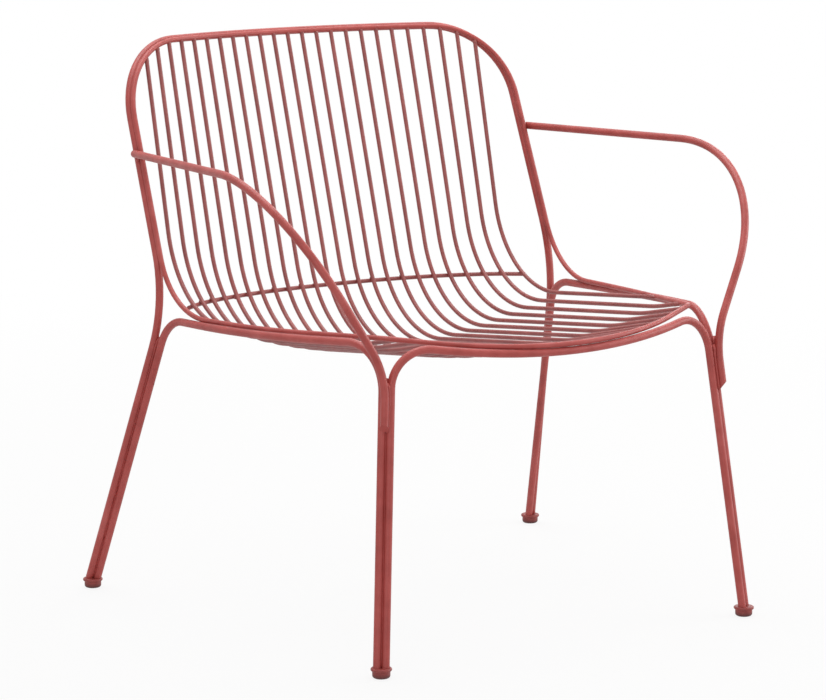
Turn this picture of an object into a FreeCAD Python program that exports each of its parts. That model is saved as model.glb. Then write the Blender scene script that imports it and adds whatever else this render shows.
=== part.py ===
import FreeCAD, Part
import Sketcher
import math
import os
from FreeCAD import Placement, Rotation, Vector

# Welded steel rod armchair. X is across, the front is towards -Y, Z is up, and the origin is on the
# floor under the middle of the overall depth. Left is -X. Lengths are millimetres, angles degrees.
DIMENSIONS = {
    # Bar stock and welds
    "rod_diameter": 10,
    "rim_diameter": 6.5,
    "wire_diameter": 5.6,
    "weld_gap": 0.2,
    # Overall
    "overall_depth": 680,
    "overall_height": 722,
    # Lower ends and tops of the leaning legs, measured at the middle of each pair of rods; the pair
    # angle is how far the way from the outer to the inner rod is turned from straight forwards
    "rod_end_height": 10,
    "front_foot_span": 551.1,
    "rear_foot_span": 706.5,
    "foot_distance": 591.6,
    "front_knee_span": 477.6,
    "front_knee_height": 396.4,
    "front_knee_setback": 42.2,
    "rear_knee_span": 615.2,
    "rear_knee_height": 374.2,
    "rear_knee_advance": 122.6,
    "pair_angle": 58,
    # Side frames
    "side_rail_bow": 27.4,
    "side_rail_drop": 4,
    "side_rail_bow_radius": 1000,
    "side_front_radius": 59,
    "side_rear_radius": 51,
    # Front frame
    "front_rail_height": 394.8,
    "front_rail_bulge": 75.9,
    "front_rail_dip": 35.3,
    "front_bow_radius": 545,
    "front_bend_radius": 48,
    # Back hoop
    "hoop_knee_height": 394,
    "hoop_knee_inset": 4.2,
    "hoop_knee_setback": 6,
    "hoop_knee_radius": 177,
    "hoop_corner_span": 597.5,
    "hoop_corner_radius": 115.7,
    "top_bar_angle": 16.6,
    "top_bar_radius": 680,
    # Arms
    "arm_rear_height": 580,
    "arm_elbow_span": 750.2,
    "arm_elbow_height": 591.4,
    "arm_elbow_setback": 75.6,
    "arm_elbow_radius": 185.5,
    "arm_meet_height": 361.5,
    "arm_meet_radius": 110,
    "arm_end_height": 292,
    "arm_rest_angle": 13,
    "arm_bevel": 45,
    # Rim around seat and back
    "rim_side_inset": 0.8,
    "rim_knee_radius": 107,
    "rim_side_bow": 17.2,
    "rim_side_drop": 3.2,
    "rim_side_radius": 900,
    "rim_corner_span": 461.6,
    "rim_corner_setback": 26,
    "rim_corner_rise": 4.5,
    "rim_corner_radius": 18.8,
    "rim_front_radius": 372,
    "rim_front_lead": 0.8,
    # Seat wires; a drop is below the rail there, a rise or an advance is how far the outermost wire
    # departs from the middle one
    "wire_count": 24,
    "wire_inset": 40,
    "seat_bend_setback": 520.5,
    "seat_bend_advance": 4.4,
    "seat_bend_drop": 72.5,
    "seat_bend_rise": 54,
    "seat_bend_radius": 138,
    "seat_dip_setback": 142,
    "seat_dip_drop": 47.8,
    "seat_dip_rise": 46.7,
    "seat_dip_radius": 300,
    # Cross wire behind the bends of the wires
    "cross_wire_rise": 8.3,
    "cross_wire_overhang": 8,
    # Glides
    "glide_diameter": 26,
    "glide_height": 12.8,
    "glide_collar": 4.2,
    "glide_base_diameter": 22,
    "glide_edge_radius": 3.5,
    "socket_clearance": 0.2,
}

RIGHT = 1
LEFT = -1
SIDE_NAMES = {RIGHT: "right", LEFT: "left"}
# Share of a straight run that the bends at its two ends may take up
BEND_SHARE = 0.98

os.makedirs("parts", exist_ok=True)
doc = FreeCAD.newDocument("garden_armchair")


def make_sheet():
    sheet = doc.addObject("Spreadsheet::Sheet", "Dimensions")
    for row, (alias, value) in enumerate(DIMENSIONS.items(), start=1):
        sheet.set(f"A{row}", alias)
        sheet.set(f"B{row}", str(value))
        sheet.setAlias(f"B{row}", alias)
    doc.recompute()
    return sheet


sheet = make_sheet()


def size(alias):
    return float(sheet.get(alias))


# Paths of bent rod

def turn_angle(before, corner, after):
    return (corner - before).getAngle(after - corner)


def limited_radii(points, radii, closed=False):
    """Bend radii, eased where two neighbouring bends would need more than the run between them."""
    count = len(points)
    corners = range(count) if closed else range(1, count - 1)
    tangents = [0.0] * count
    for corner, radius in zip(corners, radii):
        turn = turn_angle(points[corner - 1], points[corner], points[(corner + 1) % count])
        tangents[corner] = radius * math.tan(turn / 2)
    ease = [1.0] * count
    for start in range(count if closed else count - 1):
        end = (start + 1) % count
        needed = tangents[start] + tangents[end]
        run = BEND_SHARE * points[start].distanceToPoint(points[end])
        if needed > run:
            ease[start] = min(ease[start], run / needed)
            ease[end] = min(ease[end], run / needed)
    return [radius * ease[corner] for corner, radius in zip(corners, radii)]


def bend_arc(before, corner, after, radius):
    turn = turn_angle(before, corner, after)
    back = (before - corner).normalize()
    ahead = (after - corner).normalize()
    tangent = radius * math.tan(turn / 2)
    middle = (back + ahead).normalize() * (radius / math.cos(turn / 2) - radius)
    return corner + back * tangent, corner + middle, corner + ahead * tangent


def bent_path(points, radii, closed=False):
    """Straight runs joined by tangent arcs at the corners; radii are given for the corners in order."""
    count = len(points)
    corners = range(count) if closed else range(1, count - 1)
    edges = []
    arcs = []
    for corner, radius in zip(corners, limited_radii(points, radii, closed)):
        arcs.append(bend_arc(points[corner - 1], points[corner], points[(corner + 1) % count], radius))
    position = arcs[-1][2] if closed else points[0]
    for start, middle, end in arcs:
        edges.append(Part.LineSegment(position, start).toShape())
        edges.append(Part.Arc(start, middle, end).toShape())
        position = end
    if not closed:
        edges.append(Part.LineSegment(position, points[-1]).toShape())
    return Part.Wire(edges)


def mirrored(point):
    return Vector(-point.x, point.y, point.z)


def crossings(path, axis, place):
    """Points where a path passes through the plane at a place on an axis (0 is X, 2 is Z)."""
    steps = 16
    found = []
    for edge in path.Edges:
        first, last = edge.ParameterRange
        grid = [first + (last - first) * step / steps for step in range(steps + 1)]
        for low, high in zip(grid, grid[1:]):
            low_side = edge.valueAt(low)[axis] - place
            if low_side * (edge.valueAt(high)[axis] - place) > 0:
                continue
            for _ in range(40):
                middle = (low + high) / 2
                if (edge.valueAt(middle)[axis] - place) * low_side > 0:
                    low = middle
                else:
                    high = middle
            found.append(edge.valueAt(low))
    return found


def distance(shape, other):
    return shape.distToShape(other)[0]


def nearest_clear(clear, low, high):
    """Smallest value between low and high for which clear() holds, where it holds from there on up."""
    for _ in range(16):
        middle = (low + high) / 2
        if clear(middle):
            high = middle
        else:
            low = middle
    return high


def clear_start(path, gap, radius, point, towards):
    """Point on the way to another, where the square end of a rod is at a gap from the rod on a path."""
    direction = (towards - point).normalize()

    def clear(step):
        ring = Part.makeCircle(radius, point + direction * step, direction)
        return distance(ring, path) >= gap

    return point + direction * nearest_clear(clear, 0, 30 * gap)


# Where the rods run

rod_pitch = size("rod_diameter") + size("weld_gap")
rim_pitch = (size("rod_diameter") + size("rim_diameter")) / 2 + size("weld_gap")
front_foot_y = -size("overall_depth") / 2 + size("glide_diameter") / 2


class LegPair:
    """Two parallel rods side by side; the first lies inwards and forwards of the second."""

    def __init__(self, foot, knee, side, angle):
        self.foot = foot
        self.along = (knee - foot).normalize()
        turn = math.radians(angle)
        inwards = Vector(-side * math.sin(turn), -math.cos(turn), 0)
        self.across = (inwards - self.along * inwards.dot(self.along)).normalize()
        self.outwards = self.along.cross(self.across) * side

    def middle(self, height):
        return self.foot + self.along * ((height - self.foot.z) / self.along.z)

    def inner(self, height):
        return self.middle(height) + self.across * (rod_pitch / 2)

    def outer(self, height):
        return self.middle(height) - self.across * (rod_pitch / 2)


def front_pair(side):
    foot = Vector(side * size("front_foot_span") / 2, front_foot_y, size("rod_end_height"))
    knee = Vector(side * size("front_knee_span") / 2, front_foot_y + size("front_knee_setback"),
                  size("front_knee_height"))
    return LegPair(foot, knee, side, size("pair_angle"))


def rear_pair(side):
    rear_foot_y = front_foot_y + size("foot_distance")
    foot = Vector(side * size("rear_foot_span") / 2, rear_foot_y, size("rod_end_height"))
    knee = Vector(side * size("rear_knee_span") / 2, rear_foot_y - size("rear_knee_advance"),
                  size("rear_knee_height"))
    return LegPair(foot, knee, side, size("pair_angle"))


def side_frame_path(side):
    front = front_pair(side)
    rear = rear_pair(side)
    end = size("rod_end_height")
    rear_knee = rear.inner(size("rear_knee_height"))
    front_knee = front.outer(size("front_knee_height"))
    bow = (rear_knee + front_knee) / 2 + Vector(side * size("side_rail_bow"), 0, -size("side_rail_drop"))
    points = [rear.inner(end), rear_knee, bow, front_knee, front.outer(end)]
    radii = [size("side_rear_radius"), size("side_rail_bow_radius"), size("side_front_radius")]
    return bent_path(points, radii)


def front_frame_points():
    pair = front_pair(RIGHT)
    corner = pair.inner(size("front_rail_height"))
    middle = Vector(0, corner.y - size("front_rail_bulge"), corner.z - size("front_rail_dip"))
    foot = pair.inner(size("rod_end_height"))
    return [mirrored(foot), mirrored(corner), middle, corner, foot]


def front_frame_radii():
    bend = size("front_bend_radius")
    return limited_radii(front_frame_points(), [bend, size("front_bow_radius"), bend])


def hoop_points():
    pair = rear_pair(RIGHT)
    half_span = size("hoop_corner_span") / 2
    top = size("overall_height") - size("rod_diameter") / 2
    angle = math.radians(size("top_bar_angle"))
    rearmost = size("overall_depth") / 2 - size("rod_diameter") / 2
    apex_y = rearmost + size("top_bar_radius") * (1 / math.cos(angle) - 1)
    corner = Vector(half_span, apex_y - half_span * math.tan(angle), top)
    foot = pair.outer(size("rod_end_height"))
    knee_shift = Vector(-size("hoop_knee_inset"), size("hoop_knee_setback"), 0)
    knee = pair.outer(size("hoop_knee_height")) + knee_shift
    apex = Vector(0, apex_y, top)
    return [mirrored(foot), mirrored(knee), mirrored(corner), apex, corner, knee, foot]


def hoop_radii():
    knee = size("hoop_knee_radius")
    corner = size("hoop_corner_radius")
    return limited_radii(hoop_points(), [knee, corner, size("top_bar_radius"), corner, knee])


def rim_front_apex(corner, middle, radius):
    """Point where the runs from both front corners meet, so that their bend passes through a middle."""
    chord = Vector(0, corner.y, corner.z)
    rise = middle.distanceToPoint(chord)
    reach = rise
    for _ in range(200):
        turn = 2 * math.atan2(reach, corner.x)
        reach = rise + radius * (1 / math.cos(turn / 2) - 1)
    return chord + (middle - chord).normalize() * reach


def rim_path(knee_height, front_rise, front_points, front_radii, back_points, back_radii):
    """Closed loop in front of the hoop and over the front rail, with its side knees at a height."""
    apex, corner, hoop_knee = back_points[3:6]
    side_direction = (corner - hoop_knee).normalize()
    bend_normal = side_direction.cross(apex - corner).normalize()
    forward = Vector(0, -rim_pitch / abs(bend_normal.y), 0)
    inwards = Vector(-size("rim_side_inset"), 0, 0)
    hoop_side = hoop_knee + side_direction * ((knee_height - hoop_knee.z) / side_direction.z)
    knee = hoop_side + forward + inwards
    rail_middle, rail_corner = front_points[2:4]
    lead = size("rim_front_lead")
    upward = Vector(0, -lead, math.sqrt(rim_pitch ** 2 - lead ** 2) + front_rise)
    front_middle = bend_arc(mirrored(rail_corner), rail_middle, rail_corner, front_radii[1])[1] + upward
    front_corner = Vector(size("rim_corner_span") / 2, rail_corner.y + size("rim_corner_setback"),
                          rail_corner.z + size("rim_corner_rise"))
    front_radius = size("rim_front_radius")
    front_apex = rim_front_apex(front_corner, front_middle, front_radius)
    bow = (knee + front_corner) / 2 + Vector(size("rim_side_bow"), 0, -size("rim_side_drop"))
    right = [corner + forward + inwards, knee, bow, front_corner]
    left = [mirrored(point) for point in reversed(right)]
    points = [apex + forward] + right + [front_apex] + left
    seat_radii = [size("rim_knee_radius"), size("rim_side_radius"), size("rim_corner_radius")]
    right_radii = [back_radii[3]] + seat_radii
    radii = [back_radii[2]] + right_radii + [front_radius] + right_radii[::-1]
    return bent_path(points, radii, closed=True)


def settled_rim_path(side_rail):
    """The rim as low as it goes before it touches the front rail and, at its knees, the side rails."""
    known = (front_frame_points(), front_frame_radii(), hoop_points(), hoop_radii())
    front_rail = bent_path(front_frame_points(), front_frame_radii())
    rail = size("rear_knee_height")

    def clear_of_front(rise):
        return distance(rim_path(rail, rise, *known), front_rail) >= rim_pitch

    front_rise = nearest_clear(clear_of_front, 0, rod_pitch)

    def clear_of_sides(knee_height):
        return distance(rim_path(knee_height, front_rise, *known), side_rail) >= rim_pitch

    knee_height = nearest_clear(clear_of_sides, rail - rod_pitch, rail + 5 * rod_pitch)
    return rim_path(knee_height, front_rise, *known)


def arm_rest(pair):
    """Ways across and out of a leg for its arm, turned from the groove towards the outer rod."""
    turn = math.radians(size("arm_rest_angle"))
    across = pair.across * math.cos(turn) + pair.outwards * math.sin(turn)
    outwards = pair.outwards * math.cos(turn) - pair.across * math.sin(turn)
    return across, outwards


def arm_depth():
    """How far out of a leg its arm lies when it rests on the outer rod."""
    turn = math.radians(size("arm_rest_angle"))
    beside = rod_pitch / 2 * math.cos(turn)
    return rod_pitch / 2 * math.sin(turn) + math.sqrt(rod_pitch ** 2 - beside ** 2)


def arm_path(side, hoop, beside):
    """Arm from the front of the hoop, at a distance outwards from its middle, down to a front leg."""
    pair = front_pair(side)
    hoop_corner, hoop_knee = hoop_points()[4:6]
    if side == LEFT:
        hoop_corner = mirrored(hoop_corner)
        hoop_knee = mirrored(hoop_knee)
    upright = (hoop_corner - hoop_knee).normalize()
    joint = hoop_knee + upright * ((size("arm_rear_height") - hoop_knee.z) / upright.z)
    elbow = Vector(side * size("arm_elbow_span") / 2, front_foot_y + size("arm_elbow_setback"),
                   size("arm_elbow_height"))
    rear = joint
    for _ in range(4):
        level = (elbow - rear).normalize()
        rear = joint + upright.cross(level).normalize() * (side * beside)
    rod_radius = size("rod_diameter") / 2
    rear_end = clear_start(hoop, rod_radius + size("weld_gap"), rod_radius, rear, elbow)
    _, outwards = arm_rest(pair)
    rest = outwards * arm_depth()
    meet = pair.middle(size("arm_meet_height")) + rest
    tip = pair.middle(size("arm_end_height")) + rest
    return bent_path([rear_end, elbow, meet, tip], [size("arm_elbow_radius"), size("arm_meet_radius")])


def settled_arm_path(side, hoop, rim):
    """The arm as far in as the rim in front of the hoop lets it be."""
    def clear(beside):
        return distance(arm_path(side, hoop, beside), rim) >= rim_pitch

    return arm_path(side, hoop, nearest_clear(clear, 0, rod_pitch))


# Seat wires

def seat_wire_points(x, outermost, rim):
    share = (x / outermost) ** 2
    met = crossings(rim, 0, x)
    top = max(met, key=lambda point: point.z)
    front = min(met, key=lambda point: point.y)
    bend = Vector(x, front_foot_y + size("seat_bend_setback") - size("seat_bend_advance") * share,
                  size("rear_knee_height") - size("seat_bend_drop") + size("seat_bend_rise") * share)
    dip = Vector(x, front_foot_y + size("seat_dip_setback"),
                 size("front_rail_height") - size("seat_dip_drop") + size("seat_dip_rise") * share)
    seat = [bend, dip] if front.y < dip.y else [bend]
    end = (rim, size("rim_diameter") / 2 + size("weld_gap"), size("wire_diameter") / 2)
    return [clear_start(*end, top, bend)] + seat + [clear_start(*end, front, seat[-1])]


def seat_wire_paths(rim):
    """Evenly spaced wires from left to right, the left half mirroring the right."""
    count = int(size("wire_count"))
    outermost = size("hoop_corner_span") / 2 - size("wire_inset")
    places = [outermost * (2 * index / (count - 1) - 1) for index in range(count // 2, count)]
    right = [seat_wire_points(place, outermost, rim) for place in places]
    left = [[mirrored(point) for point in points] for points in reversed(right) if points[0].x > 0]
    radii = [size("seat_bend_radius"), size("seat_dip_radius")]
    return [bent_path(points, radii) for points in left + right]


def point_behind(wire, level, clearance, heading):
    """Point at a level behind a wire, where a straight rod on a heading clears it."""
    x = wire.BoundBox.Center.x

    def clear(y):
        place = Vector(x, y, level)
        return distance(Part.makeLine(place - heading, place + heading), wire) >= clearance

    rear_y = max(point.y for point in crossings(wire, 2, level))
    return Vector(x, nearest_clear(clear, rear_y, rear_y + 6 * clearance), level)


def cross_wire_path(wires):
    """Level curve behind the bends of the wires, ending just past the outermost ones."""
    clearance = size("wire_diameter") + size("weld_gap")
    level = size("rear_knee_height") + size("cross_wire_rise")
    right_half = [wire for wire in wires if wire.BoundBox.Center.x > 0]
    headings = [Vector(1, 0, 0)] * len(right_half)
    for _ in range(3):
        right = [point_behind(wire, level, clearance, heading * size("wire_diameter"))
                 for wire, heading in zip(right_half, headings)]
        right.append(right[-1] + (right[-1] - right[-2]).normalize() * size("cross_wire_overhang"))
        chain = [mirrored(right[0])] + right
        headings = [(after - before).normalize() for before, after in zip(chain, chain[2:])]
    left = [mirrored(point) for point in reversed(right)]
    curve = Part.BSplineCurve()
    curve.interpolate(left + right)
    path = Part.Wire([arc.toShape() for arc in curve.toBiArcs(size("weld_gap") / 4)])

    def clear_of_wires(step):
        moved = path.translated(Vector(0, step, 0))
        return all(distance(moved, wire) >= clearance for wire in wires)

    return path.translated(Vector(0, nearest_clear(clear_of_wires, 0, clearance), 0))


# Solids

def add_rod(name, path, diameter):
    """Round bar along a path, square at its ends."""
    spine = doc.addObject("Part::Feature", name + "_path")
    spine.Shape = path
    start = path.OrderedVertexes[0].Point
    first_edge = path.OrderedEdges[0]
    heading = first_edge.tangentAt(first_edge.Curve.parameter(start))
    section = doc.addObject("Part::Circle", name + "_section")
    section.setExpression("Radius", f"Dimensions.{diameter} / 2")
    section.Placement = Placement(start, Rotation(Vector(0, 0, 1), heading))
    rod = doc.addObject("Part::Sweep", name)
    rod.Label = name
    rod.Sections = [section]
    rod.Spine = (spine, [f"Edge{number}" for number in range(1, len(path.Edges) + 1)])
    rod.Solid = True
    return rod


def add_arm(side, path):
    """Arm rod whose lower end is cut off at a slant, shorter on the outside."""
    name = "arm_" + SIDE_NAMES[side]
    rod = add_rod(name + "_rod", path, "rod_diameter")
    pair = front_pair(side)
    slant = math.radians(size("arm_bevel"))
    across, outwards = arm_rest(pair)
    facing = outwards * math.cos(slant) - pair.along * math.sin(slant)
    reach = 2 * size("rod_diameter")
    turn = Rotation(across, Vector(), facing, "ZXY")
    inner_depth = arm_depth() - size("rod_diameter") / 2
    inner_edge = pair.middle(size("arm_end_height")) + outwards * inner_depth
    cutter = doc.addObject("Part::Box", name + "_bevel")
    for length in ("Length", "Width", "Height"):
        cutter.setExpression(length, "4 * Dimensions.rod_diameter")
    cutter.Placement = Placement(inner_edge - turn.multVec(Vector(reach, reach, 0)), turn)
    arm = doc.addObject("Part::Cut", name)
    arm.Label = name
    arm.Base = rod
    arm.Tool = cutter
    return arm


def origin_plane(body, role):
    return next(feature for feature in body.Origin.OriginFeatures if feature.Role == role)


def add_glide_body(name, foot):
    """Turned glide: a base with a rounded lower edge under a wider collar with a round lip."""
    body = doc.addObject("PartDesign::Body", name + "_turned")
    sketch = body.newObject("Sketcher::SketchObject", name + "_profile")
    sketch.AttachmentSupport = [(origin_plane(body, "XZ_Plane"), "")]
    sketch.MapMode = "FlatFace"
    base = size("glide_base_diameter") / 2
    lip = size("glide_collar") / 2
    lip_place = size("glide_diameter") / 2 - lip
    edge = size("glide_edge_radius")
    top = size("glide_height")
    step = top - 2 * lip
    lines = [
        (Vector(base, edge, 0), Vector(base, step, 0)),
        (Vector(base, step, 0), Vector(lip_place, step, 0)),
        (Vector(lip_place, top, 0), Vector(0, top, 0)),
        (Vector(0, top, 0), Vector(0, 0, 0)),
        (Vector(0, 0, 0), Vector(base - edge, 0, 0)),
    ]
    base_wall, collar_step, top_face, centre_line, floor_face = [
        sketch.addGeometry(Part.LineSegment(start, end)) for start, end in lines]
    upwards = Vector(0, 0, 1)
    lip_circle = Part.Circle(Vector(lip_place, step + lip, 0), upwards, lip)
    lip_arc = sketch.addGeometry(Part.ArcOfCircle(lip_circle, -math.pi / 2, math.pi / 2))
    edge_circle = Part.Circle(Vector(base - edge, edge, 0), upwards, edge)
    edge_arc = sketch.addGeometry(Part.ArcOfCircle(edge_circle, -math.pi / 2, 0))
    start, end, centre = 1, 2, 3
    for before, after in ((base_wall, collar_step), (top_face, centre_line), (centre_line, floor_face)):
        sketch.addConstraint(Sketcher.Constraint("Coincident", before, end, after, start))
    smooth = ((collar_step, lip_arc), (lip_arc, top_face), (floor_face, edge_arc), (edge_arc, base_wall))
    for before, after in smooth:
        sketch.addConstraint(Sketcher.Constraint("Tangent", before, end, after, start))
    sketch.addConstraint(Sketcher.Constraint("Coincident", floor_face, start, -1, 1))
    for line in (base_wall, centre_line):
        sketch.addConstraint(Sketcher.Constraint("Vertical", line))
    for line in (collar_step, top_face, floor_face):
        sketch.addConstraint(Sketcher.Constraint("Horizontal", line))
    driven = [
        (("DistanceX", -1, 1, base_wall, start, base), "Dimensions.glide_base_diameter / 2"),
        (("DistanceX", -1, 1, lip_arc, centre, lip_place),
         "(Dimensions.glide_diameter - Dimensions.glide_collar) / 2"),
        (("DistanceY", -1, 1, top_face, start, top), "Dimensions.glide_height"),
        (("Radius", lip_arc, lip), "Dimensions.glide_collar / 2"),
        (("Radius", edge_arc, edge), "Dimensions.glide_edge_radius"),
    ]
    for constraint, formula in driven:
        index = sketch.addConstraint(Sketcher.Constraint(*constraint))
        sketch.setExpression(f"Constraints[{index}]", formula)
    turned = body.newObject("PartDesign::Revolution", name + "_revolution")
    turned.Profile = sketch
    turned.ReferenceAxis = (sketch, ["V_Axis"])
    body.Placement = Placement(foot, Rotation())
    return body


def add_socket(name, pair):
    """Slot around the ends of both rods of a leg, with the socket clearance all round and below."""
    clearance = size("socket_clearance")
    turn = Rotation(pair.across, Vector(), pair.along, "ZXY")
    height = size("rod_end_height")
    floor = pair.along * -clearance
    holes = []
    for label, rod_end in (("inner", pair.inner(height)), ("outer", pair.outer(height))):
        hole = doc.addObject("Part::Cylinder", f"{name}_{label}_hole")
        hole.setExpression("Radius", "Dimensions.rod_diameter / 2 + Dimensions.socket_clearance")
        hole.setExpression("Height", "2 * Dimensions.glide_height")
        hole.Placement = Placement(rod_end + floor, turn)
        holes.append(hole)
    slot = doc.addObject("Part::Box", name + "_slot")
    slot.setExpression("Length", "Dimensions.rod_diameter + Dimensions.weld_gap")
    slot.setExpression("Width", "Dimensions.rod_diameter + 2 * Dimensions.socket_clearance")
    slot.setExpression("Height", "2 * Dimensions.glide_height")
    half_width = size("rod_diameter") / 2 + clearance
    slot.Placement = Placement(pair.outer(height) + floor - turn.multVec(Vector(0, half_width, 0)), turn)
    socket = doc.addObject("Part::MultiFuse", name + "_socket")
    socket.Shapes = holes + [slot]
    return socket


def add_glide(name, pair):
    foot = pair.middle(size("rod_end_height"))
    glide = doc.addObject("Part::Cut", name)
    glide.Label = name
    glide.Base = add_glide_body(name, Vector(foot.x, foot.y, 0))
    glide.Tool = add_socket(name, pair)
    return glide


def build_chair():
    pieces = []
    side_rails = {side: side_frame_path(side) for side in (LEFT, RIGHT)}
    rim = settled_rim_path(side_rails[RIGHT])
    hoop = bent_path(hoop_points(), hoop_radii())
    front = bent_path(front_frame_points(), front_frame_radii())
    pieces.append(add_rod("back_hoop", hoop, "rod_diameter"))
    pieces.append(add_rod("front_frame", front, "rod_diameter"))
    pieces.append(add_rod("seat_rim", rim, "rim_diameter"))
    for side in (LEFT, RIGHT):
        side_name = SIDE_NAMES[side]
        pieces.append(add_rod("side_frame_" + side_name, side_rails[side], "rod_diameter"))
        pieces.append(add_arm(side, settled_arm_path(side, hoop, rim)))
        pieces.append(add_glide("glide_front_" + side_name, front_pair(side)))
        pieces.append(add_glide("glide_rear_" + side_name, rear_pair(side)))
    wires = seat_wire_paths(rim)
    for number, wire in enumerate(wires, start=1):
        pieces.append(add_rod(f"seat_wire_{number:02d}", wire, "wire_diameter"))
    pieces.append(add_rod("cross_wire", cross_wire_path(wires), "wire_diameter"))
    doc.recompute()
    return pieces


def check_and_export(pieces):
    for item in doc.Objects:
        if "Invalid" in item.State or "Error" in item.State:
            raise RuntimeError(f"{item.Label} failed: {item.State}")
    for piece in pieces:
        if piece.Shape.isNull() or not piece.Shape.isValid() or len(piece.Shape.Solids) != 1:
            raise RuntimeError(f"{piece.Label} is not one valid solid")
        if piece.TypeId == "Part::Sweep":
            expected = piece.Sections[0].Radius.Value ** 2 * math.pi * piece.Spine[0].Shape.Length
            if abs(piece.Shape.Volume / expected - 1) > 0.01:
                raise RuntimeError(f"{piece.Label} has the wrong volume")
    for piece in pieces:
        piece.Shape.exportStep(f"parts/{piece.Label}.step")


check_and_export(build_chair())
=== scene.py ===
import math

import bmesh
import bpy
from mathutils import Matrix, Vector, noise
from mathutils.bvhtree import BVHTree


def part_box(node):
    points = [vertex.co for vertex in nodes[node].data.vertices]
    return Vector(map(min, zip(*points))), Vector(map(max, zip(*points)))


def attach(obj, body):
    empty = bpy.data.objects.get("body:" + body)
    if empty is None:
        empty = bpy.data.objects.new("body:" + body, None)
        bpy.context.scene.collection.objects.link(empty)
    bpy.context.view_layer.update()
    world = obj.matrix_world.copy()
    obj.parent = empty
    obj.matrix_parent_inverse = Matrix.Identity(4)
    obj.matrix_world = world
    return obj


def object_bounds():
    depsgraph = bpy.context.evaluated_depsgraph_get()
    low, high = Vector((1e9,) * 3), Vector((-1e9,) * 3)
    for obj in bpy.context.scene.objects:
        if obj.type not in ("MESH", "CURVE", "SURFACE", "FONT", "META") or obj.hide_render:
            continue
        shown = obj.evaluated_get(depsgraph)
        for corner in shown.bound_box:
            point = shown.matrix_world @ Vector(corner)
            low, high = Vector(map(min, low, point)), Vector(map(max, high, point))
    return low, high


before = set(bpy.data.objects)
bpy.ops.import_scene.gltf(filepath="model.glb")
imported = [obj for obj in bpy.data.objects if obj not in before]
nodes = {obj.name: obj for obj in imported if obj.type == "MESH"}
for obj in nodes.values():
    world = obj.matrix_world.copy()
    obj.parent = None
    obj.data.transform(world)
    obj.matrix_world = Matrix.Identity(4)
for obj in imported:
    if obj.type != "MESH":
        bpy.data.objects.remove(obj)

cad_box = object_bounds()
seat_wires = sorted(name for name in nodes if name.startswith("seat_wire"))

MILLIMETRE = 0.001
SIDES = ("left", "right")
RIGHT = Vector((1, 0, 0))
FRONT = Vector((0, -1, 0))
UP = Vector((0, 0, 1))

# The photograph's frame in pixels, and the camera found by fitting the chair to it
PHOTO_WIDTH = 826
PHOTO_HEIGHT = 700
CAMERA_AZIMUTH = math.radians(-33.068)
CAMERA_ELEVATION = math.radians(10.088)
CAMERA_DISTANCE = 4.52494
CAMERA_TARGET = Vector((0, 0.008, 0.315))
FOCAL_PIXELS = 3466.75
PRINCIPAL_X = 421.46
PRINCIPAL_Y = 356.11
SENSOR_WIDTH = 36

# Colours, linear
COAT_RED = (0.370, 0.050, 0.042, 1)
COAT_DEEP = (0.300, 0.034, 0.028, 1)
COAT_PALE = (0.430, 0.075, 0.066, 1)
# Painted shade: the wires' colours are a darker, duller copy of the rods' coat, standing in for the shade
# on the wires
WIRE_SHADED_RED = (0.266, 0.052, 0.047, 1)
WIRE_SHADED_DEEP = (0.216, 0.037, 0.034, 1)
WIRE_SHADED_PALE = (0.314, 0.071, 0.064, 1)
GLIDE_RED = (0.270, 0.040, 0.034, 1)
GLIDE_SHADE = (0.215, 0.030, 0.026, 1)
# Painted shade: the dark colour at the bottoms of the glides
GLIDE_PAINTED_SHADE = (0.030, 0.009, 0.008, 1)
FLOOR_PALE = (0.60, 0.60, 0.60, 1)
FILL_TINT = (1, 0.99, 0.98, 1)
WHITE = (1, 1, 1, 1)

# Noise in the finishes: scale in cells per metre, detail, roughness
DRIFT_NOISE = (28, 4, 0.6)
SPECK_NOISE = (2600, 2, 0.5)
SHEEN_NOISE = (90, 5, 0.65)
PEEL_NOISE = (900, 2, 0.5)
GRAIN_NOISE = (3800, 1, 0.5)
MOULD_NOISE = (160, 4, 0.5)
# The next noise breaks up the painted shade at the glides' bottoms
PAINTED_SHADE_NOISE = (700, 5, 0.7)
PLASTIC_SHEEN_NOISE = (300, 4, 0.5)
PLASTIC_GRAIN_NOISE = (2200, 3, 0.5)

# Where on the noise a change starts and ends; noise seldom leaves the middle of its range
NOISE_SPAN = (0.3, 0.7)
DRIFT_STOPS = (0.30, 0.52, 0.74)
SPECK_SPAN = (0.60, 0.72)

# Strongest speck, roughness from the smoothest to the roughest spot, gloss and refraction of the coat
SPECK_SHARE = 0.35
COAT_ROUGHNESS = (0.40, 0.56)
PLASTIC_ROUGHNESS = (0.42, 0.62)
COAT_GLOSS = 0.55
WIRE_GLOSS = 0.68
COAT_IOR = 1.5

# Bumps: height in metres, strength
PEEL_BUMP = (0.25 * MILLIMETRE, 0.55)
GRAIN_BUMP = (0.10 * MILLIMETRE, 0.6)
PLASTIC_BUMP = (0.10 * MILLIMETRE, 0.4)

# Heights above the floor over which the painted shade at the glides' bottoms fades, and how thin it gets
# in patches
PAINTED_SHADE_HEIGHTS = (1.5 * MILLIMETRE, 7.5 * MILLIMETRE)
PAINTED_SHADE_THIN = (0.55, 0.55, 0.55, 1)

# Bar stock, and how much of a rod counts as its end and as the top bar
ROD_RADIUS = 5 * MILLIMETRE
WIRE_RADIUS = 2.8 * MILLIMETRE
ROD_END = 2 * ROD_RADIUS
TOP_ZONE = 4 * ROD_RADIUS

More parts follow.
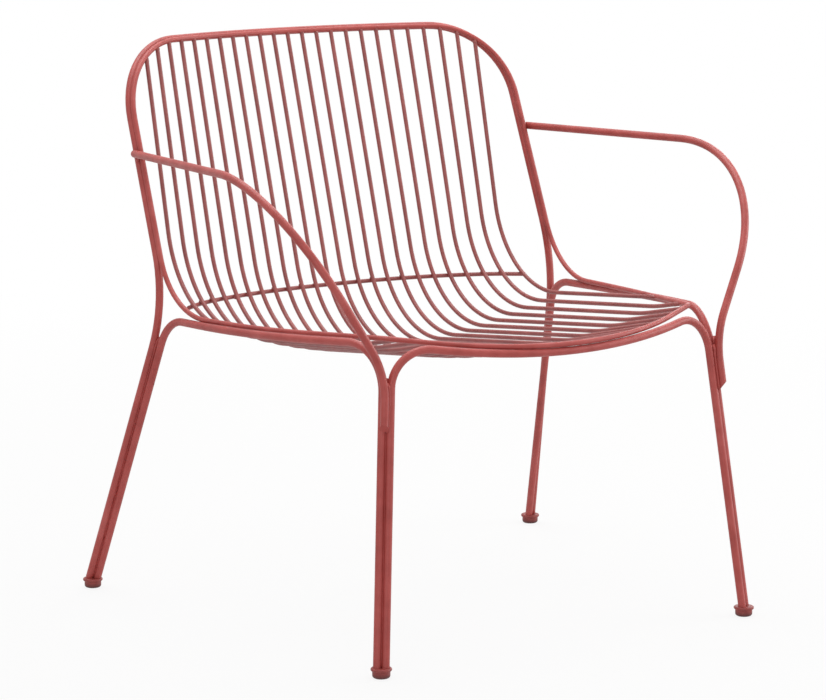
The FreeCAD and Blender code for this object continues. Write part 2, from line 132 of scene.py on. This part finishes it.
# Seams along two rods: step, widest gap that is filled, depth of the fill
LEG_SEAM = (3 * MILLIMETRE, 3.2 * MILLIMETRE, 3.1 * MILLIMETRE)
ARM_SEAM = (2 * MILLIMETRE, 4.6 * MILLIMETRE, 2.7 * MILLIMETRE)
RIM_SEAM = (4 * MILLIMETRE, 1.6 * MILLIMETRE, 1.9 * MILLIMETRE)

# Start of a leg's seam above its glide, most steps in a seam, rounds in the search for facing points
LEG_SEAM_START = 1 * MILLIMETRE
LONGEST_SEAM = 400
FACING_ROUNDS = 40

# Section of a seam: corners, how far it sinks into the rods and how much deeper a wider gap makes it
SEAM_SIDES = 12
SEAM_SINK = 0.9 * MILLIMETRE
SEAM_DEPTH_PER_GAP = 0.45

# Ends of a seam: steps over which it narrows, where on that taper it ends,
# and the shift and scale of each ring that rounds it off
SEAM_TAPER = 3
SEAM_END_SHARE = 0.15
END_ROUNDING = ((0.5 * MILLIMETRE, 0.85), (0.4 * MILLIMETRE, 0.6))

# Unevenness of seams and beads: share of the size, and how fast it changes
SEAM_RIPPLE = (0.06, 2.4)
SEAM_LUMPS = (0.10, 90)
BEAD_RIPPLE = (0.07, 9)
BEAD_LUMPS = (0.12, 1.7)

# Beads: length, width, height above the joint
ARM_BEAD = (8 * MILLIMETRE, 7 * MILLIMETRE, 3 * MILLIMETRE)
CROSS_BEAD = (5.2 * MILLIMETRE, 4.0 * MILLIMETRE, 2.2 * MILLIMETRE)

# Segments and rings of a bead, step between an arm's beads and the hoop's direction beside them
BEAD_SEGMENTS = 18
BEAD_RINGS = 10
ARM_BEAD_STEP = 0.85 * ROD_RADIUS
HOOP_UPRIGHT = Vector((0, 0.2, 1)).normalized()

# Collars at the wires' ends: longest gap bridged, length per gap and beyond it, width, height
LONGEST_COLLAR = 14 * MILLIMETRE
COLLAR_STRETCH = 1.35
COLLAR_OVERLAP = 6 * MILLIMETRE
COLLAR_WIDTH = 2.25 * WIRE_RADIUS
COLLAR_HEIGHT = 1.13 * WIRE_RADIUS

# Floor: width in metres, roughness
FLOOR_SIZE = 60
FLOOR_ROUGHNESS = 0.9

# Share of plain white in what the camera sees of the floor, near the chair and far from it, in metres
GLOW_NEAR = 0.87
GLOW_FAR = 1.0
GLOW_REACH = (0.6, 2.6)

# Lamps: place and aim in metres, disc diameter in metres, power in watts
LAMPS = {
    "overhead": ((0.0, 0.6, 3.0), (0, 0, 0.35), 2.6, 60),
    "right_rear": ((2.8, 2.0, 1.9), (0, 0, 0.35), 2.2, 30),
    "right_side": ((2.3, -1.0, 1.1), (0.2, 0.1, 0.35), 1.8, 30),
    "front_left": ((-2.3, -2.8, 1.7), (0, 0, 0.30), 2.4, 22),
}
WORLD_FILL = 0.645


# Materials

class Graph:
    """A material's nodes, made and linked by name."""

    def __init__(self, name):
        self.material = bpy.data.materials.new(name)
        self.material.use_nodes = True
        self.nodes = self.material.node_tree.nodes
        self.links = self.material.node_tree.links
        self.shader = self.nodes["Principled BSDF"]
        self.place = self.nodes.new("ShaderNodeTexCoord").outputs["Object"]

    def noise(self, settings):
        scale, detail, roughness = settings
        node = self.nodes.new("ShaderNodeTexNoise")
        node.inputs["Scale"].default_value = scale
        node.inputs["Detail"].default_value = detail
        node.inputs["Roughness"].default_value = roughness
        self.links.new(self.place, node.inputs["Vector"])
        return node.outputs["Fac"]

    def ramp(self, value, positions, colours):
        node = self.nodes.new("ShaderNodeValToRGB")
        elements = node.color_ramp.elements
        while len(elements) < len(positions):
            elements.new(0.5)
        for element, position, colour in zip(elements, positions, colours):
            element.position = position
            element.color = colour
        self.links.new(value, node.inputs["Fac"])
        return node.outputs["Color"]

    def mix(self, factor, first, second, blend="MIX"):
        node = self.nodes.new("ShaderNodeMix")
        node.data_type = "RGBA"
        node.blend_type = blend
        for socket, value in (("Factor_Float", factor), ("A_Color", first), ("B_Color", second)):
            target = next(item for item in node.inputs if item.identifier == socket)
            if isinstance(value, bpy.types.NodeSocket):
                self.links.new(value, target)
            else:
                target.default_value = value
        return next(item for item in node.outputs if item.identifier == "Result_Color")

    def spread(self, value, span, low, high):
        node = self.nodes.new("ShaderNodeMapRange")
        node.inputs["From Min"].default_value = span[0]
        node.inputs["From Max"].default_value = span[1]
        node.inputs["To Min"].default_value = low
        node.inputs["To Max"].default_value = high
        self.links.new(value, node.inputs["Value"])
        return node.outputs["Result"]

    def bump(self, height, settings, under=None):
        distance, strength = settings
        node = self.nodes.new("ShaderNodeBump")
        node.inputs["Distance"].default_value = distance
        node.inputs["Strength"].default_value = strength
        self.links.new(height, node.inputs["Height"])
        if under is not None:
            self.links.new(under, node.inputs["Normal"])
        return node.outputs["Normal"]

    def height_above_floor(self):
        node = self.nodes.new("ShaderNodeSeparateXYZ")
        self.links.new(self.place, node.inputs["Vector"])
        return node.outputs["Z"]

    def finish(self, colour, roughness, normal):
        self.links.new(colour, self.shader.inputs["Base Color"])
        self.links.new(roughness, self.shader.inputs["Roughness"])
        self.links.new(normal, self.shader.inputs["Normal"])
        return self.material


def powder_coat(name, deep, red, pale, gloss):
    """Satin red powder coat: faint drifts of tone, pin-prick specks and a fine orange-peel surface."""
    graph = Graph(name)
    drift = graph.ramp(graph.noise(DRIFT_NOISE), DRIFT_STOPS, (deep, red, pale))
    specks = graph.spread(graph.noise(SPECK_NOISE), SPECK_SPAN, 0.0, SPECK_SHARE)
    colour = graph.mix(specks, drift, pale)
    roughness = graph.spread(graph.noise(SHEEN_NOISE), NOISE_SPAN, *COAT_ROUGHNESS)
    peel = graph.bump(graph.noise(PEEL_NOISE), PEEL_BUMP)
    grain = graph.bump(graph.noise(GRAIN_NOISE), GRAIN_BUMP, peel)
    graph.shader.inputs["IOR"].default_value = COAT_IOR
    graph.shader.inputs["Specular IOR Level"].default_value = gloss
    return graph.finish(colour, roughness, grain)


def glide_plastic():
    """Moulded red plastic, with painted shade darkening it towards the floor, broken up in patches."""
    graph = Graph("glide_plastic")
    mould = graph.ramp(graph.noise(MOULD_NOISE), NOISE_SPAN, (GLIDE_SHADE, GLIDE_RED))
    # Painted shade: darker towards the floor, broken up in patches by noise
    low = graph.spread(graph.height_above_floor(), PAINTED_SHADE_HEIGHTS, 1.0, 0.0)
    broken = graph.mix(graph.noise(PAINTED_SHADE_NOISE), PAINTED_SHADE_THIN, WHITE)
    painted_shade = graph.mix(1.0, low, broken, "MULTIPLY")
    colour = graph.mix(painted_shade, mould, GLIDE_PAINTED_SHADE)
    roughness = graph.spread(graph.noise(PLASTIC_SHEEN_NOISE), NOISE_SPAN, *PLASTIC_ROUGHNESS)
    normal = graph.bump(graph.noise(PLASTIC_GRAIN_NOISE), PLASTIC_BUMP)
    return graph.finish(colour, roughness, normal)


coat = powder_coat("red_powder_coat", COAT_DEEP, COAT_RED, COAT_PALE, COAT_GLOSS)
# Painted shade: the same powder coat on the wires and their welds, darkened and dulled
shaded_wire_coat = powder_coat("red_powder_coat_painted_shade_on_wire", WIRE_SHADED_DEEP, WIRE_SHADED_RED, WIRE_SHADED_PALE, WIRE_GLOSS)
plastic = glide_plastic()


def finish_of(name):
    if name.startswith("glide"):
        return plastic
    # Wires and their welds get the darkened copy of the coat, which is painted shade
    return shaded_wire_coat if "wire" in name else coat


for name, node in nodes.items():
    node.data.materials.clear()
    node.data.materials.append(finish_of(name))


# Places on the rods

def tree_of(name):
    mesh = bmesh.new()
    mesh.from_mesh(nodes[name].data)
    tree = BVHTree.FromBMesh(mesh)
    mesh.free()
    return tree


def vertices_of(name):
    return [vertex.co.copy() for vertex in nodes[name].data.vertices]


def middle_of(points):
    return sum(points, Vector()) / len(points)


def closest(points, tree):
    """The point nearest to a tree's surface and the place on it."""
    best = None
    for point in points:
        place, _, _, gap = tree.find_nearest(point)
        if best is None or gap < best[2]:
            best = (point, place, gap)
    return best[0], best[1]


def facing_points(place, along, first, second):
    """The points where two rods face each other across their gap, square to a direction."""
    def level(point):
        return point + along * (place - point).dot(along)

    far = place
    for _ in range(FACING_ROUNDS):
        near = level(first.find_nearest(far)[0])
        far = level(second.find_nearest(near)[0])
    return near, far


def follow_gap(first, second, start, heading, step, widest):
    """Stations along the gap between two rods, from a start until it is wider than a limit."""
    stations = []
    along = heading.normalized()
    place = start
    while True:
        near, far = facing_points(place, along, first, second)
        if (far - near).length > widest or len(stations) > LONGEST_SEAM:
            return stations
        middle = (near + far) / 2
        if stations:
            along = (middle - stations[-1][0]).normalized()
        stations.append((middle, along, far - near))
        place = middle + along * step


def wire_end(points, direction):
    """Middle and heading of a wire's square end, at the far side in a direction."""
    furthest = max(point.dot(direction) for point in points)
    ring = [point for point in points if point.dot(direction) > furthest - WIRE_RADIUS]
    middle = middle_of(ring)
    spokes = [point - middle for point in ring if (point - middle).length > WIRE_RADIUS / 2]
    square = max(spokes, key=lambda spoke: spoke.cross(spokes[0]).length)
    heading = spokes[0].cross(square).normalized()
    return middle, heading if heading.dot(direction) > 0 else -heading


# Shapes of the welds

def join_rings(mesh, before, after):
    for corner in range(SEAM_SIDES):
        beside = (corner + 1) % SEAM_SIDES
        mesh.faces.new((before[corner], before[beside], after[beside], after[corner]))


def close_end(mesh, ring, station, outwards):
    """Round off the end of a seam with two shrinking rings and a tip."""
    middle, along, _ = station
    for reach, scale in END_ROUNDING:
        shift = along * (outwards * reach)
        inner = [mesh.verts.new(middle + (vertex.co - middle) * scale + shift) for vertex in ring]
        join_rings(mesh, ring, inner)
        ring = inner
        middle = middle + shift
    tip = mesh.verts.new(middle)
    for corner in range(SEAM_SIDES):
        mesh.faces.new((ring[corner], ring[(corner + 1) % SEAM_SIDES], tip))


def seam_ring(mesh, station, number, from_end, depth, seed):
    """One section of a seam, across the gap between two rods and sunk into both."""
    middle, along, gap = station
    across = gap.normalized()
    out = along.cross(across)
    taper = math.sin(min(1, from_end / SEAM_TAPER + SEAM_END_SHARE) * math.pi / 2)
    wave = SEAM_RIPPLE[0] * math.sin(SEAM_RIPPLE[1] * number + seed)
    ripple = 1 + wave + SEAM_LUMPS[0] * noise.noise(middle * SEAM_LUMPS[1])
    half_width = gap.length / 2 + SEAM_SINK * taper
    half_depth = (depth + gap.length * SEAM_DEPTH_PER_GAP) * taper * ripple
    ring = []
    for corner in range(SEAM_SIDES):
        turn = 2 * math.pi * corner / SEAM_SIDES
        point = middle + across * (half_width * math.cos(turn)) + out * (half_depth * math.sin(turn))
        ring.append(mesh.verts.new(point))
    return ring


def add_seam(mesh, first, second, start, heading, sizes, seed):
    """Filled groove along the gap between two rods: a rippled strip, rounded off at its ends."""
    step, widest, depth = sizes
    stations = follow_gap(first, second, start, heading, step, widest)
    last = len(stations) - 1
    rings = [seam_ring(mesh, station, number, min(number, last - number), depth, seed)
             for number, station in enumerate(stations)]
    for before, after in zip(rings, rings[1:]):
        join_rings(mesh, before, after)
    close_end(mesh, rings[0], stations[0], -1)
    close_end(mesh, rings[-1], stations[-1], 1)


def add_bead(mesh, place, along, out, sizes, seed):
    """One weld bead: a low rippled mound, longest along the joint, its skirt sunk into what it joins."""
    length, width, height = sizes
    along = along.normalized()
    out = (out - along * out.dot(along)).normalized()
    across = along.cross(out)
    axes = Matrix((along, across, out)).transposed()
    made = bmesh.ops.create_uvsphere(mesh, u_segments=BEAD_SEGMENTS, v_segments=BEAD_RINGS, radius=1)
    for vertex in made["verts"]:
        shape = vertex.co.copy()
        ripple = 1 + BEAD_RIPPLE[0] * math.sin(BEAD_RIPPLE[1] * shape.x + seed)
        lump = 1 + BEAD_LUMPS[0] * noise.noise(shape * BEAD_LUMPS[1] + Vector((seed, 0, 0)))
        scaled = Vector((shape.x * length / 2, shape.y * width / 2 * ripple, shape.z * height * ripple))
        vertex.co = place + axes @ (scaled * lump)


def add_piece(name, mesh):
    bmesh.ops.recalc_face_normals(mesh, faces=mesh.faces)
    data = bpy.data.meshes.new(name)
    mesh.to_mesh(data)
    mesh.free()
    data.materials.append(finish_of(name))
    for polygon in data.polygons:
        polygon.use_smooth = True
    piece = bpy.data.objects.new(name, data)
    bpy.context.scene.collection.objects.link(piece)
    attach(piece, "root")


# Welds

def leg_seams():
    """The groove of each leg pair, from its glide up to where the two rods part."""
    for place, partner in (("front", "front_frame"), ("rear", "back_hoop")):
        for number, side in enumerate(SIDES):
            low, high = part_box(f"glide_{place}_{side}")
            start = Vector(((low[0] + high[0]) / 2, (low[1] + high[1]) / 2, high[2] + LEG_SEAM_START))
            mesh = bmesh.new()
            add_seam(mesh, tree_of(partner), tree_of(f"side_frame_{side}"), start, UP, LEG_SEAM, number)
            add_piece(f"seam_leg_{place}_{side}", mesh)


def arm_seams():
    """Each arm's two grooves along a front leg, from its slanted end up to where it leaves the leg."""
    for number, side in enumerate(SIDES):
        points = vertices_of(f"arm_{side}")
        lowest = min(point.z for point in points)
        end = [point for point in points if point.z < lowest + ROD_END]
        arm = tree_of(f"arm_{side}")
        mesh = bmesh.new()
        for partner in ("front_frame", f"side_frame_{side}"):
            leg = tree_of(partner)
            start = middle_of(closest(end, leg))
            add_seam(mesh, leg, arm, start, UP, ARM_SEAM, number)
        add_piece(f"seam_arm_{side}", mesh)


def rim_seam():
    """The groove between the rim and the hoop, from the middle of the top bar down both sides."""
    rim = tree_of("seat_rim")
    hoop = tree_of("back_hoop")
    top = [point for point in vertices_of("seat_rim") if point.z > cad_box[1][2] - TOP_ZONE]
    start = middle_of(closest(top, hoop))
    mesh = bmesh.new()
    for heading in (RIGHT, -RIGHT):
        add_seam(mesh, rim, hoop, start, heading, RIM_SEAM, heading.x)
    add_piece("seam_rim_hoop", mesh)


def arm_hoop_welds():
    """Beads around the rear end of each arm, on the hoop."""
    hoop = tree_of("back_hoop")
    for number, side in enumerate(SIDES):
        points = vertices_of(f"arm_{side}")
        rearmost = max(point.y for point in points)
        end = [point for point in points if point.y > rearmost - ROD_END]
        _, place = closest(end, hoop)
        out = (middle_of(end) - place).normalized()
        mesh = bmesh.new()
        for step in (-1, 0, 1):
            joint = place + HOOP_UPRIGHT * (step * ARM_BEAD_STEP)
            add_bead(mesh, joint, HOOP_UPRIGHT, out, ARM_BEAD, number + step)
        add_piece(f"welds_arm_hoop_{side}", mesh)


def wire_end_welds():
    """Collars where each wire's two ends meet the rim, longer where a wire runs into it at a slant."""
    rim = tree_of("seat_rim")
    for piece, direction in (("welds_wire_tops", UP), ("welds_wire_fronts", FRONT)):
        mesh = bmesh.new()
        for number, name in enumerate(seat_wires):
            end, heading = wire_end(vertices_of(name), direction)
            reach = min(rim.ray_cast(end, heading)[3] or 0, LONGEST_COLLAR)
            sizes = (COLLAR_STRETCH * reach + COLLAR_OVERLAP, COLLAR_WIDTH, COLLAR_HEIGHT)
            add_bead(mesh, end + heading * (reach / 2), heading, heading.orthogonal(), sizes, number)
        add_piece(piece, mesh)


def cross_wire_welds():
    """A dab on each crossing of the cross wire and a seat wire."""
    cross = tree_of("cross_wire")
    mesh = bmesh.new()
    for number, name in enumerate(seat_wires):
        middle = middle_of(closest(vertices_of(name), cross))
        add_bead(mesh, middle, RIGHT, UP, CROSS_BEAD, number)
    add_piece("welds_cross_wire", mesh)


leg_seams()
arm_seams()
rim_seam()
arm_hoop_welds()
wire_end_welds()
cross_wire_welds()


# Floor, light and camera

def seen_directly(tree):
    """1 for camera, glossy and transmission rays, and 0 for the rays that carry light."""
    path = tree.nodes.new("ShaderNodeLightPath")
    total = path.outputs["Is Camera Ray"]
    for ray in ("Is Glossy Ray", "Is Transmission Ray"):
        either = tree.nodes.new("ShaderNodeMath")
        either.operation = "MAXIMUM"
        tree.links.new(total, either.inputs[0])
        tree.links.new(path.outputs[ray], either.inputs[1])
        total = either.outputs["Value"]
    return total


def glow_by_distance(tree):
    """The floor's share of plain white, rising with the distance from the chair."""
    place = tree.nodes.new("ShaderNodeNewGeometry").outputs["Position"]
    length = tree.nodes.new("ShaderNodeVectorMath")
    length.operation = "LENGTH"
    tree.links.new(place, length.inputs[0])
    spread = tree.nodes.new("ShaderNodeMapRange")
    spread.interpolation_type = "SMOOTHSTEP"
    tree.links.new(length.outputs["Value"], spread.inputs["Value"])
    spread.inputs["From Min"].default_value = GLOW_REACH[0]
    spread.inputs["From Max"].default_value = GLOW_REACH[1]
    spread.inputs["To Min"].default_value = GLOW_NEAR
    spread.inputs["To Max"].default_value = GLOW_FAR
    return spread.outputs["Result"]


def blend_shaders(tree, share, first, second):
    blend = tree.nodes.new("ShaderNodeMixShader")
    tree.links.new(share, blend.inputs["Fac"])
    tree.links.new(first, blend.inputs[1])
    tree.links.new(second, blend.inputs[2])
    return blend.outputs["Shader"]


def add_floor():
    """Pale floor that takes shadows, mixed with plain white for what the camera sees."""
    bpy.ops.mesh.primitive_plane_add(size=FLOOR_SIZE)
    floor = bpy.context.object
    floor.name = "floor"
    material = bpy.data.materials.new("pale_floor")
    material.use_nodes = True
    tree = material.node_tree
    shader = tree.nodes["Principled BSDF"]
    shader.inputs["Base Color"].default_value = FLOOR_PALE
    shader.inputs["Roughness"].default_value = FLOOR_ROUGHNESS
    shader.inputs["Specular IOR Level"].default_value = 0
    glow = tree.nodes.new("ShaderNodeEmission")
    glow.inputs["Strength"].default_value = 1
    share = tree.nodes.new("ShaderNodeMath")
    share.operation = "MULTIPLY"
    tree.links.new(seen_directly(tree), share.inputs[0])
    tree.links.new(glow_by_distance(tree), share.inputs[1])
    surface = blend_shaders(tree, share.outputs["Value"], shader.outputs["BSDF"], glow.outputs["Emission"])
    tree.links.new(surface, tree.nodes["Material Output"].inputs["Surface"])
    floor.data.materials.append(material)


def add_world():
    """White to the camera and in reflections, a softer fill for lighting."""
    world = bpy.data.worlds.new("studio")
    bpy.context.scene.world = world
    world.use_nodes = True
    tree = world.node_tree
    fill = tree.nodes["Background"]
    fill.inputs["Color"].default_value = FILL_TINT
    fill.inputs["Strength"].default_value = WORLD_FILL
    white = tree.nodes.new("ShaderNodeBackground")
    white.inputs["Color"].default_value = WHITE
    white.inputs["Strength"].default_value = 1
    share = seen_directly(tree)
    surface = blend_shaders(tree, share, fill.outputs["Background"], white.outputs["Background"])
    tree.links.new(surface, tree.nodes["World Output"].inputs["Surface"])


def add_lamp(name, place, towards, size, power):
    data = bpy.data.lights.new(name, "AREA")
    data.shape = "DISK"
    data.size = size
    data.energy = power
    lamp = bpy.data.objects.new(name, data)
    bpy.context.scene.collection.objects.link(lamp)
    lamp.location = place
    lamp.rotation_euler = (Vector(towards) - Vector(place)).to_track_quat("-Z", "Y").to_euler()


def add_camera():
    data = bpy.data.cameras.new("camera")
    data.sensor_fit = "HORIZONTAL"
    data.sensor_width = SENSOR_WIDTH
    data.lens = FOCAL_PIXELS * SENSOR_WIDTH / PHOTO_WIDTH
    data.shift_x = (PHOTO_WIDTH / 2 - PRINCIPAL_X) / PHOTO_WIDTH
    data.shift_y = (PRINCIPAL_Y - PHOTO_HEIGHT / 2) / PHOTO_WIDTH
    camera = bpy.data.objects.new("camera", data)
    bpy.context.scene.collection.objects.link(camera)
    level = math.cos(CAMERA_ELEVATION)
    direction = Vector((math.sin(CAMERA_AZIMUTH) * level, -math.cos(CAMERA_AZIMUTH) * level,
                        math.sin(CAMERA_ELEVATION)))
    camera.location = CAMERA_TARGET + direction * CAMERA_DISTANCE
    camera.rotation_euler = (-direction).to_track_quat("-Z", "Y").to_euler()
    bpy.context.scene.camera = camera


add_floor()
add_world()
for name, settings in LAMPS.items():
    add_lamp(name, *settings)
add_camera()
bpy.context.scene.view_settings.view_transform = "Standard"
